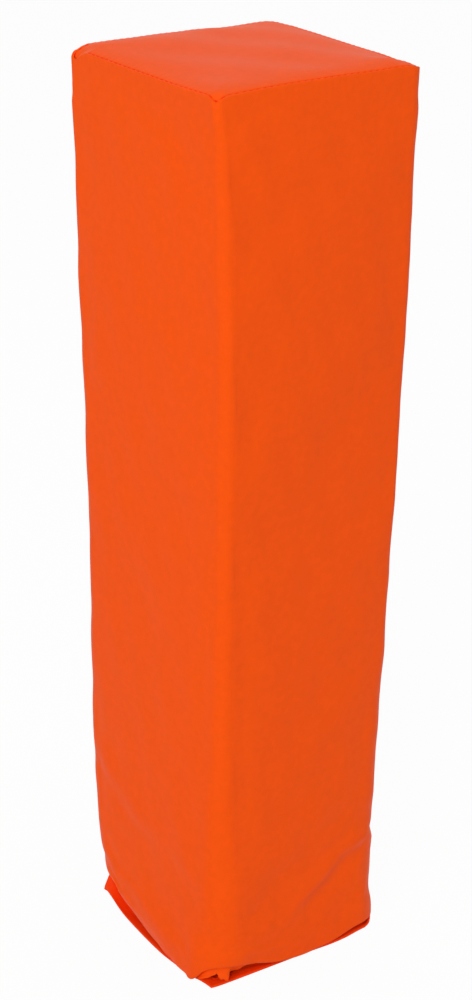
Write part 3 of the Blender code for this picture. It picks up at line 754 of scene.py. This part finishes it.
def build_top():
    """A puffed square of cloth whose edges turn down into the seam."""
    half = half_width(HEIGHT) - EDGE_ROLL - SEAM_ROLL - SEAM_GAP
    near = np.array([0, 0.1, 0.25, 0.45, 0.7, 1, 1.4, 1.9, 2.5, 3.2, 4.1, 5.2, 6.6, 8.2]) * MM
    middle = np.linspace(10 * MM, 2 * half - 10 * MM, 96)
    line = np.concatenate([near, middle, 2 * half - near[::-1]]) - half
    count = len(line)
    u, v = np.meshgrid(line, line)
    edge = half - np.maximum(np.abs(u), np.abs(v))
    x, y = rounded(u, v, half)
    over = 1 - np.clip(edge / SEAM_ROLL, 0, 1)
    roll = SEAM_ROLL * (1 - np.sqrt(np.clip(1 - over**2, 0, 1)))
    puff = PUFF * (1 - np.exp(-edge / PUFF_REACH))
    crown = TOP_CROWN * (1 - (u / half) ** 2) * (1 - (v / half) ** 2)
    swell = hump((x / MM + 20) / 24) * hump((y / MM - 44) / 20)
    crown = crown + 0.3 * MM * swell * ease(edge / (5 * MM))
    along = np.where(np.abs(u) > np.abs(v), y, x)
    pucker = PUCKER * np.exp(-edge / PUCKER_REACH) * np.cos(math.tau * along / STITCH_PITCH)
    waves = 0.28 * MM * np.sin((x * 0.8 + y * 0.6) / (6 * MM) + 1.0)
    waves = waves + 0.22 * MM * np.sin((x * 0.5 - y) / (9 * MM))
    z = SEAM_LEVEL + puff + crown - roll + pucker + waves * ease(edge / (16 * MM))
    points = np.stack([x, y, z], axis=-1).reshape(-1, 3)
    flat = np.stack([u, v], axis=-1).reshape(-1, 2)
    border = grid_border(count, count)
    ring = [a for a, _ in border]
    points = np.concatenate([points, points[ring] - (0, 0, SEAM_ALLOWANCE)])
    first = count * count
    faces = grid_faces(count, count)
    for number, (a, b) in enumerate(border):
        faces.append((b, a, first + number, first + (number + 1) % len(ring)))
    points = shoulder(turned(points, smooth(HEIGHT / MM, TWIST)))
    top = grid_mesh("top", points, faces, np.concatenate([flat, flat[ring]]))
    thicken(top, SHEET)
    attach(top, "marker")
    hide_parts("top_panel")
    inset = EDGE_ROLL + SEAM_ROLL + SEAM_GAP / 2
    line, facing = sleeve_surface(SEAM_LEVEL - 0.25 * MM, inset)
    closed = np.arange(COUNT + 1) % COUNT
    up = np.concatenate([facing[closed] * 0.7, np.full((COUNT + 1, 1), 0.7)], axis=1)
    sew("top_stitches", "marker", [(shoulder(line[closed]), up)], share=0.62, radius=0.33 * MM)
    return top


# Closure flap


def corner_rise(x, y):
    """How far the flap's back left corner lifts off the floor, with x and y in mm."""
    return EAR_RISE * np.clip((y - x) / math.sqrt(2) - EAR_START, 0, 30) ** 2


def lay_flap(points):
    """Skew the flap as it lies, bow its front and left edges and curl its corners up."""
    x, y, z = points[..., 0] / MM, points[..., 1] / MM, points[..., 2] / MM
    half = FLAP_HALF / MM
    from_left, from_back = np.clip(x + half, 0, None), np.clip(half - y, 0, None)
    loose = ease((HINGE.x / MM - x) / 12)
    beside = np.where(np.abs(y) > HINGE_HALF / MM, 1.0, 0.0)
    bow_front = smooth(x, FRONT_BOW) * np.clip(-y / half, 0, 1) ** 4
    bow_left = smooth(y, LEFT_BOW) * np.clip(-x / half, 0, 1) ** 4
    x = x + (FLAP_RIGHT - half) * beside * ease((x - half + 14) / 14) - bow_left
    y = y - FLAP_SKEW * x * loose - bow_front
    for sx, sy, start, radius, most, draw in CURLS:
        past = (sx * x + sy * y) / math.sqrt(2) - start
        bent = np.clip(past, 0, None) * draw
        angle = np.minimum(bent / radius, math.radians(most))
        beyond = bent - angle * radius
        height = np.where(past > 0, z, 0)
        out = radius * np.sin(angle) + beyond * np.cos(angle) - height * np.sin(angle)
        back = np.clip(past, 0, None) - out
        x = x - sx * back / math.sqrt(2)
        y = y - sy * back / math.sqrt(2)
        z = z + radius * (1 - np.cos(angle)) + beyond * np.sin(angle) - height * (1 - np.cos(angle))
    left_margin = ease((-x - 44) / 7)
    corner = hump(from_back / 9)
    rise = corner_rise(x, y) * (1 - EAR_DROOP * left_margin)
    z = z + rise - EAR_TIP * np.exp(-from_left / 1.0) * corner
    diagonal = np.clip((y - x) / math.sqrt(2) - EAR_START, 0, None)
    y = y - EAR_PULL * ease((diagonal - 8) / 22) * np.clip(y / half, 0, 1)
    x = x + 1.0 * np.exp(-from_left / 3) * corner
    return np.stack([x, y, z], axis=-1) * MM


def flap_lines():
    """Places of the flap's rows: close together over its rounded edge and its doubled hem."""
    edge = [0, 0.1, 0.25, 0.45, 0.7, 1.1, 1.7, 2.5, 3.3, 3.9, 4.4, 4.9, 5.4, 5.75, 6.05, 6.4, 7]
    edge = np.array(edge) * MM
    inner = np.linspace(8.5 * MM, 2 * FLAP_HALF - 8.5 * MM, 66)
    return np.concatenate([edge, inner, 2 * FLAP_HALF - edge[::-1]]) - FLAP_HALF


def flap_levels(x, y):
    """Where the flap reaches in x, and its upper and lower levels, before it is laid."""
    half = FLAP_HALF
    beside = np.where(np.abs(y) > HINGE_HALF, half - x, 1.0)
    free = np.minimum(np.minimum(x + half, half - np.abs(y)), beside)
    hem = 1 - ease((free - HEM_WIDTH + 0.35 * MM) / (0.7 * MM))
    thick = SHEET + (HEM_THICK - SHEET) * hem
    rim = 0.7 * MM
    arc = np.sqrt(np.clip(1 - (1 - np.clip(free / rim, 0, 1)) ** 2, 0, 1))
    stitch = 0.2 * MM * hump((free - HEM_STITCH) / (0.6 * MM)) * hem
    soft = 0.12 * MM * hem * np.sin((x + y) / (3.1 * MM)) * ease(free / (3 * MM))
    top = HEM_THICK / 2 + (thick - HEM_THICK / 2) * arc - stitch + soft
    bottom = HEM_THICK / 2 * (1 - arc) + 0.8 * stitch
    at_hinge = np.abs(y) <= HINGE_HALF
    to_hinge = ease((x - half + 3 * MM) / (2 * MM)) * at_hinge
    top = top + (HINGE.z + SHEET / 2 - top) * to_hinge
    bottom = bottom + (HINGE.z - SHEET / 2 - bottom) * to_hinge
    nose = np.clip((x - half + rim) / rim, 0, 1) * at_hinge * math.pi / 2
    straight = np.clip(x - half + 7 * MM, 0, 6.3 * MM) / (6.3 * MM) * (HINGE.x - half + rim)
    x = np.where(at_hinge, np.minimum(x, half - rim) + straight + SHEET / 2 * np.sin(nose), x)
    top = np.where(nose > 0, HINGE.z + SHEET / 2 * np.cos(nose), top)
    bottom = np.where(nose > 0, HINGE.z - SHEET / 2 * np.cos(nose), bottom)
    return x, top, bottom


def build_flap():
    """A square of the same sheet, doubled along its free edges, that ends at the hinge's axis."""
    x, y = np.meshgrid(flap_lines(), flap_lines(), indexing="ij")
    x, *levels = flap_levels(x, y)
    layers = [lay_flap(np.stack([x, y, level], axis=-1)).reshape(-1, 3) for level in levels]
    n = len(x)
    faces = [face[::-1] for face in grid_faces(n, n)]
    faces += [tuple(i + n * n for i in face[::-1]) for face in faces]
    faces += [(b, a, a + n * n, b + n * n) for a, b in grid_border(n, n)]
    flat = np.stack([x, y], axis=-1).reshape(-1, 2)
    flap = grid_mesh("flap", np.concatenate(layers), faces, np.concatenate([flat, flat]))
    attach(flap, "flap")
    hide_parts("closure_flap")
    reach = FLAP_HALF - HEM_STITCH
    ends = np.linspace(-reach, reach, 80)
    line = [(-a, -reach) for a in ends[6:]]
    line += [(-reach, a) for a in ends[1:-1]]
    line += [(a, reach) for a in ends[:-6]]
    rows = []
    for level, way in ((HEM_THICK - 0.14 * MM, 1.0), (0.2 * MM, -1.0)):
        laid = lay_flap(np.column_stack([line, np.full(len(line), level)]))
        rows.append((laid, np.tile((0.0, 0.0, way), (len(line), 1))))
    sew("flap_stitches", "flap", rows, radius=0.17 * MM)
    return flap


# Filling


def build_foam():
    """The foam block: it fills the sleeve from the ballast up to the top panel."""
    low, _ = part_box("foam_core")
    inset = SHEET + 1.4 * MM
    top = SEAM_LEVEL - 2.5 * MM
    section = [(2.2 * MM, low.z), (0.6 * MM, low.z + 0.5 * MM), (0, low.z + 2 * MM)]
    section += [(0, level) for level in np.linspace(low.z + 8 * MM, top - 8 * MM, 60)]
    section += [(1 * MM, top - 3 * MM), (3 * MM, top - 0.6 * MM), (5 * MM, top)]
    rows = [sleeve_surface(level, inset + depth)[0] for depth, level in section]
    rows += [rows[-1] * (share, share, 1) for share in (0.8, 0.5, 0.2)]
    faces = tube_faces(len(rows), COUNT, capped=True)
    foam = grid_mesh("foam_block", np.concatenate(rows), faces)
    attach(foam, "marker")
    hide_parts("foam_core")
    return foam


def pouch():
    """The sewn pouch full of sand: a flat box of cloth, remeshed and blown up round its seam."""
    low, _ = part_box("ballast_bag_lower")
    _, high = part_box("ballast_bag_upper")
    half = np.array([BAG_HALF, BAG_HALF, (high.z - low.z) / 2 - BAG_SPARE_HEIGHT])
    centre = np.array([0, 0, (low.z + high.z) / 2])
    box = add_object("pouch", bpy.data.meshes.new("pouch"))
    bm = bmesh.new()
    bmesh.ops.create_cube(bm, size=2)
    for vert in bm.verts:
        vert.co = Vector(centre + np.array(vert.co) * half)
    bmesh.ops.bevel(bm, geom=bm.edges[:], offset=BAG_ROUNDING, segments=4, profile=0.5, affect="EDGES")
    bm.to_mesh(box.data)
    bm.free()
    remesh = box.modifiers.new("remesh", "REMESH")
    remesh.mode = "VOXEL"
    remesh.voxel_size = BAG_CELL
    points, faces = mesh_arrays(box)
    bpy.data.objects.remove(box)
    pinned = np.flatnonzero(np.abs(points[:, 2] - BAG_SEAM) < BAG_PINNED)
    moved = simulate("pouch_cage", points, faces, pinned, BAG_PRESSURE, BAG_SPARE) - points
    far = np.linalg.norm(moved, axis=1)
    moved *= (BAG_MOST * np.tanh(far / BAG_MOST) / np.maximum(far, 1e-9))[:, None]
    points = points + moved
    points[:, 2] = np.clip(points[:, 2], low.z + BAG_CLEARANCE, high.z - BAG_CLEARANCE)
    soft = grid_mesh("pouch_soft", points, faces)
    divided = soft.modifiers.new("subdivision", "SUBSURF")
    divided.levels = divided.render_levels = 1
    points, faces = mesh_arrays(soft)
    bpy.data.objects.remove(soft)
    return points, faces


def bag_half(name, points, faces, side):
    """The part of the pouch over (side 1) or under (-1) its seam, with its flange and stitch line."""
    piece = add_object(name, bpy.data.meshes.new(name))
    bm = bmesh.new()
    verts = [bm.verts.new(p) for p in points]
    for face in faces:
        bm.faces.new([verts[i] for i in face])
    level = BAG_SEAM + side * SEAM_LAYER
    geometry = bm.verts[:] + bm.edges[:] + bm.faces[:]
    plane = {"plane_co": (0, 0, level), "plane_no": (0, 0, side)}
    bmesh.ops.bisect_plane(bm, geom=geometry, clear_inner=True, clear_outer=False, **plane)
    edge = [e for e in bm.edges if e.is_boundary]
    for step, reach in enumerate(FLANGE_STEPS):
        out = bmesh.ops.extrude_edge_only(bm, edges=edge)["geom"]
        edge = [e for e in out if isinstance(e, bmesh.types.BMEdge)]
        ring = []
        for vert in {v for e in edge for v in e.verts}:
            way = Vector((vert.co.x, vert.co.y, 0)).normalized()
            angle = math.atan2(way.y, way.x)
            vert.co += way * reach
            vert.co.z = level + FLANGE_WAVE * math.sin(FLANGE_WAVES * angle) * (step == 2)
            ring.append((angle, *vert.co))
        if step == 1:
            line = np.array(sorted(ring))[:, 1:]
            line = np.concatenate([line, line[:1]]) + (0, 0, side * 0.1 * MM)
    bmesh.ops.recalc_face_normals(bm, faces=bm.faces)
    bm.to_mesh(piece.data)
    bm.free()
    piece.data.shade_smooth()
    thicken(piece, BAG_SHEET)
    return piece, (line, np.tile((0.0, 0.0, side), (len(line), 1)))


def build_bag():
    """Two halves of canvas that meet in a flat stitched flange, and the sand in them."""
    points, faces = pouch()
    made, seams = [], []
    for name, node_name, side in (
        ("bag_lower", "ballast_bag_lower", -1),
        ("bag_upper", "ballast_bag_upper", 1),
    ):
        half, seam = bag_half(name, points, faces, side)
        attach(half, "marker")
        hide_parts(node_name)
        made.append(half)
        seams.append(seam)
    sew("bag_stitches", "marker", seams, colour=BAG_THREAD, radius=0.2 * MM)
    full = grid_mesh("sand", points, faces)
    inner = np.array([v.co - v.normal * SAND_INSET for v in full.data.vertices])
    full.data.vertices.foreach_set("co", inner.ravel())
    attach(full, "marker")
    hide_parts("sand_fill")
    return made, full


# Hook and loop tapes


def curl(a, b, turn, reach, tall, thread, arc):
    """Rings of one hook or loop: places along and across its tape and over it, mm."""
    points = []
    for t in np.radians(np.linspace(0, arc, CURL_RINGS)):
        lean, high = reach * (1 - math.cos(t)), tall * math.sin(t) + TAPE_FACE
        for k in range(CURL_SIDES):
            around = k * math.tau / CURL_SIDES + math.pi / 4
            sideways, outwards = thread * math.cos(around), thread * math.sin(around)
            along = lean - outwards * math.cos(t)
            da = along * math.cos(turn) - sideways * math.sin(turn)
            db = along * math.sin(turn) + sideways * math.cos(turn)
            points.append((a + da, b + db, high + outwards * math.sin(t)))
    return points


def build_tape(side, kind):
    """A woven strip with its hooks (on the flap) or its pile of loops (on a tab)."""
    low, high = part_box(f"{kind}_tape_{side}")
    index = SIDES.index(side)
    hooked = kind == "hook"
    up = 1 if hooked else -1
    base = low.z if hooked else high.z
    rng = np.random.default_rng(index + 10 * hooked)

    # The strip, as places along and across it and over its back, mm
    half = TAPE_LENGTH / 2 / MM
    top, bottom = [], []
    for a in np.linspace(-half, half, TAPE_STATIONS):
        end = min(1.0, (half - abs(a)) / 0.4 + 0.35)
        top += [(a, b, rise * end) for b, rise in TAPE_SECTION.items()]
        bottom += [(a, b, 0) for b in TAPE_SECTION]
    points = top + bottom
    under = len(top)
    faces = grid_faces(TAPE_STATIONS, len(TAPE_SECTION))
    faces += [tuple(i + under for i in face) for face in faces]
    faces += [(a, b, b + under, a + under) for a, b in grid_border(TAPE_STATIONS, len(TAPE_SECTION))]

    # Hooks lean along the tape in rows, and loops lie every way
    if hooked:
        spots = [(a, b) for a in np.arange(-20.4, 20.5, 1.6) for b in np.arange(-7.5, 7.6, 1.5)]
    else:
        spots = rng.uniform((-21, -7.8), (21, 7.8), (LOOPS, 2))
    for number, (a, b) in enumerate(spots):
        if hooked:
            form = HOOK
            turn = (number % 2) * math.pi + rng.normal(0, 0.12)
        else:
            turn = rng.uniform(0, math.tau)
            form = {**LOOP, "reach": rng.uniform(*LOOP["reach"]), "tall": rng.uniform(*LOOP["tall"])}
        faces += tube_faces(CURL_RINGS, CURL_SIDES, capped=True, first=len(points))
        points += curl(a, b, turn, **form)
    along, across, over = np.array(points).T[:, :, None] * MM
    centre = np.array((low + high) / 2)[:2]
    flat = centre + ONWARD[index] * along + OUTWARD[index] * across
    laid = np.concatenate([flat, base + up * over], axis=1)
    piece = grid_mesh(f"{kind}_strip_{side}", lay_flap(laid) if hooked else laid, faces)
    bm = bmesh.new()
    bm.from_mesh(piece.data)
    bmesh.ops.recalc_face_normals(bm, faces=bm.faces)
    bm.to_mesh(piece.data)
    bm.free()
    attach(piece, "flap" if hooked else "marker")
    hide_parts(f"{kind}_tape_{side}")
    return piece


# Materials


def node(tree, kind, sockets=None, **values):
    """A node with its properties set, and its sockets set or linked."""
    made = tree.nodes.new(kind)
    for key, value in values.items():
        setattr(made, key, value)
    for key, value in (sockets or {}).items():
        if isinstance(value, bpy.types.NodeSocket):
            tree.links.new(value, made.inputs[key])
        else:
            made.inputs[key].default_value = value
    return made


def maths(tree, operation, *terms, **values):
    """The output of a Math node, whose terms are numbers or other nodes' outputs."""
    made = node(tree, "ShaderNodeMath", dict(enumerate(terms)), operation=operation, **values)
    return made.outputs[0]


def new_material(name, colour, roughness):
    material = bpy.data.materials.new(name)
    material.use_nodes = True
    shader = material.node_tree.nodes["Principled BSDF"]
    shader.inputs["Base Color"].default_value = (*colour, 1)
    shader.inputs["Roughness"].default_value = roughness
    return material, shader


def vary(tree, shader, factor, colour, least, most):
    """Let a pattern take the colour between two shares of itself."""
    dark, light = ((*(share * c for c in colour), 1) for share in (least, most))
    tint = node(tree, "ShaderNodeMix", {"Factor": factor, "A": dark, "B": light}, data_type="RGBA")
    tree.links.new(tint.outputs["Result"], shader.inputs["Base Color"])


def emboss(tree, shader, height, strength, distance):
    """Let a pattern raise the surface."""
    bump = node(tree, "ShaderNodeBump", {"Strength": strength, "Distance": distance, "Height": height})
    tree.links.new(bump.outputs["Normal"], shader.inputs["Normal"])


def coated_fabric(name, colour):
    """Satin coated weave: fine threads that show through, and soft mottling."""
    material, shader = new_material(name, colour, 0.45)
    tree = material.node_tree
    cloth = node(tree, "ShaderNodeUVMap", uv_map="cloth")
    split = node(tree, "ShaderNodeSeparateXYZ", {0: cloth.outputs["UV"]})
    waves = []
    for axis in ("X", "Y"):
        turns = maths(tree, "MULTIPLY", split.outputs[axis], math.tau / WEAVE)
        waves.append(maths(tree, "SINE", turns))
    place = node(tree, "ShaderNodeTexCoord").outputs["Object"]
    mottle = node(tree, "ShaderNodeTexNoise", {"Vector": place, "Scale": 260, "Detail": 3}).outputs["Fac"]
    height = maths(tree, "MULTIPLY_ADD", maths(tree, "MULTIPLY", *waves), 0.35, mottle)
    emboss(tree, shader, height, 0.35, 0.12 * MM)
    vary(tree, shader, mottle, colour, 0.93, 1.05)
    shader.inputs["Specular IOR Level"].default_value = 0.05
    return material


def plain_material(name, colour, roughness, scale, depth, spread=0.12, cells=None):
    """A dull material with mottled colour and a bump at its own scale."""
    material, shader = new_material(name, colour, roughness)
    tree = material.node_tree
    place = node(tree, "ShaderNodeTexCoord").outputs["Object"]
    grain = node(tree, "ShaderNodeTexNoise", {"Vector": place, "Scale": scale, "Detail": 4}).outputs["Fac"]
    vary(tree, shader, grain, colour, 1 - spread, 1 + spread)
    height = grain
    if cells:
        height = node(tree, "ShaderNodeTexVoronoi", {"Vector": place, "Scale": cells}).outputs["Distance"]
    emboss(tree, shader, height, 0.6, depth)
    return material


def dress(piece, material):
    piece.data.materials.clear()
    piece.data.materials.append(material)


# Stage


def seen_rays(tree):
    """1 for the rays that show the white surroundings: the camera's, and those mirrored or let through."""
    paths = node(tree, "ShaderNodeLightPath")
    total = paths.outputs["Is Camera Ray"]
    for kind in ("Is Glossy Ray", "Is Transmission Ray"):
        total = maths(tree, "ADD", total, paths.outputs[kind], use_clamp=True)
    return total


def build_floor():
    """A pale floor that shows nearly white and keeps a trace of the object's shadow."""
    mesh = bpy.data.meshes.new("floor")
    corners = [(x * FLOOR_HALF, y * FLOOR_HALF, 0) for x, y in ((-1, -1), (1, -1), (1, 1), (-1, 1))]
    mesh.from_pydata(corners, [], [(0, 1, 2, 3)])
    floor = add_object("floor", mesh)
    material, shader = new_material("floor", (FLOOR_GREY,) * 3, 0.9)
    tree = material.node_tree
    glow = node(tree, "ShaderNodeEmission", {"Color": (1, 1, 1, 1)})
    seen = maths(tree, "MULTIPLY", seen_rays(tree), FLOOR_GLOW)
    mix = node(tree, "ShaderNodeMixShader", {"Fac": seen, 1: shader.outputs[0], 2: glow.outputs[0]})
    tree.links.new(mix.outputs[0], tree.nodes["Material Output"].inputs["Surface"])
    mesh.materials.append(material)


def build_world():
    """Even light from all round, behind a white background."""
    world = bpy.data.worlds.new("studio")
    world.use_nodes = True
    tree = world.node_tree
    tree.nodes.remove(tree.nodes["Background"])
    plain, white = (
        node(tree, "ShaderNodeBackground", {"Color": (1, 1, 1, 1), "Strength": strength}).outputs[0]
        for strength in (WORLD_LIGHT, 1.0)
    )
    mix = node(tree, "ShaderNodeMixShader", {"Fac": seen_rays(tree), 1: plain, 2: white})
    tree.links.new(mix.outputs[0], tree.nodes["World Output"].inputs["Surface"])
    bpy.context.scene.world = world


def build_lamps():
    """Soft white lamps that face the pylon's middle."""
    for name, (place, size, power) in LAMPS.items():
        data = bpy.data.lights.new(name, "AREA")
        data.size = size
        data.energy = power
        lamp = add_object(name, data)
        lamp.location = place
        aim = Vector((0, 0, HEIGHT / 2)) - lamp.location
        lamp.rotation_euler = aim.to_track_quat("-Z", "Y").to_euler()


def build_camera():
    """The camera at the photograph's viewing angle."""
    azimuth, elevation, roll = (
        math.radians(angle) for angle in (CAMERA_AZIMUTH, CAMERA_ELEVATION, CAMERA_ROLL)
    )
    level = Vector((math.sin(azimuth), -math.cos(azimuth), 0))
    back = level * math.cos(elevation) + Vector((0, 0, math.sin(elevation)))
    right = Vector((math.cos(azimuth), math.sin(azimuth), 0))
    up = back.cross(right)
    aim = Vector((0, 0, HEIGHT / 2)) + right * CAMERA_AIM[0] + up * CAMERA_AIM[1]
    tilted_right = right * math.cos(roll) + up * math.sin(roll)
    tilted_up = up * math.cos(roll) - right * math.sin(roll)
    data = bpy.data.cameras.new("camera")
    data.lens = CAMERA_LENS
    data.sensor_width = 36
    data.clip_start = 0.05
    camera = add_object("camera", data)
    turn = Matrix((tilted_right, tilted_up, back)).transposed()
    camera.matrix_world = Matrix.Translation(aim + back * CAMERA_DISTANCE) @ turn.to_4x4()
    bpy.context.scene.camera = camera


build_camera()
build_floor()
build_world()
build_lamps()
bpy.context.scene.view_settings.view_transform = "Standard"

fabric = coated_fabric("coated_fabric", ORANGE)
for piece in (build_sleeve(), build_top()):
    dress(piece, fabric)
# The flap's cloth carries painted shade: its redder colour stands in for the shaded gap under the sleeve's
# edge
dress(build_flap(), coated_fabric("flap_fabric_with_painted_shade", FLAP_ORANGE_WITH_PAINTED_SHADE))
dress(build_foam(), plain_material("foam", FOAM, 0.95, 900, 0.3 * MM, cells=900))
bag_halves, sand = build_bag()
canvas = plain_material("canvas", CANVAS, 0.85, 1500, 0.1 * MM)
for piece in bag_halves:
    dress(piece, canvas)
dress(sand, plain_material("sand", SAND, 0.95, 2500, 0.3 * MM, spread=0.3))
hooks = plain_material("hook_tape", HOOK_TAPE, 0.6, 2000, 0.05 * MM)
loops = plain_material("loop_tape", LOOP_TAPE, 0.9, 2500, 0.2 * MM)
for side in ("front", "left", "back"):
    dress(build_tape(side, "hook"), hooks)
    dress(build_tape(side, "loop"), loops)
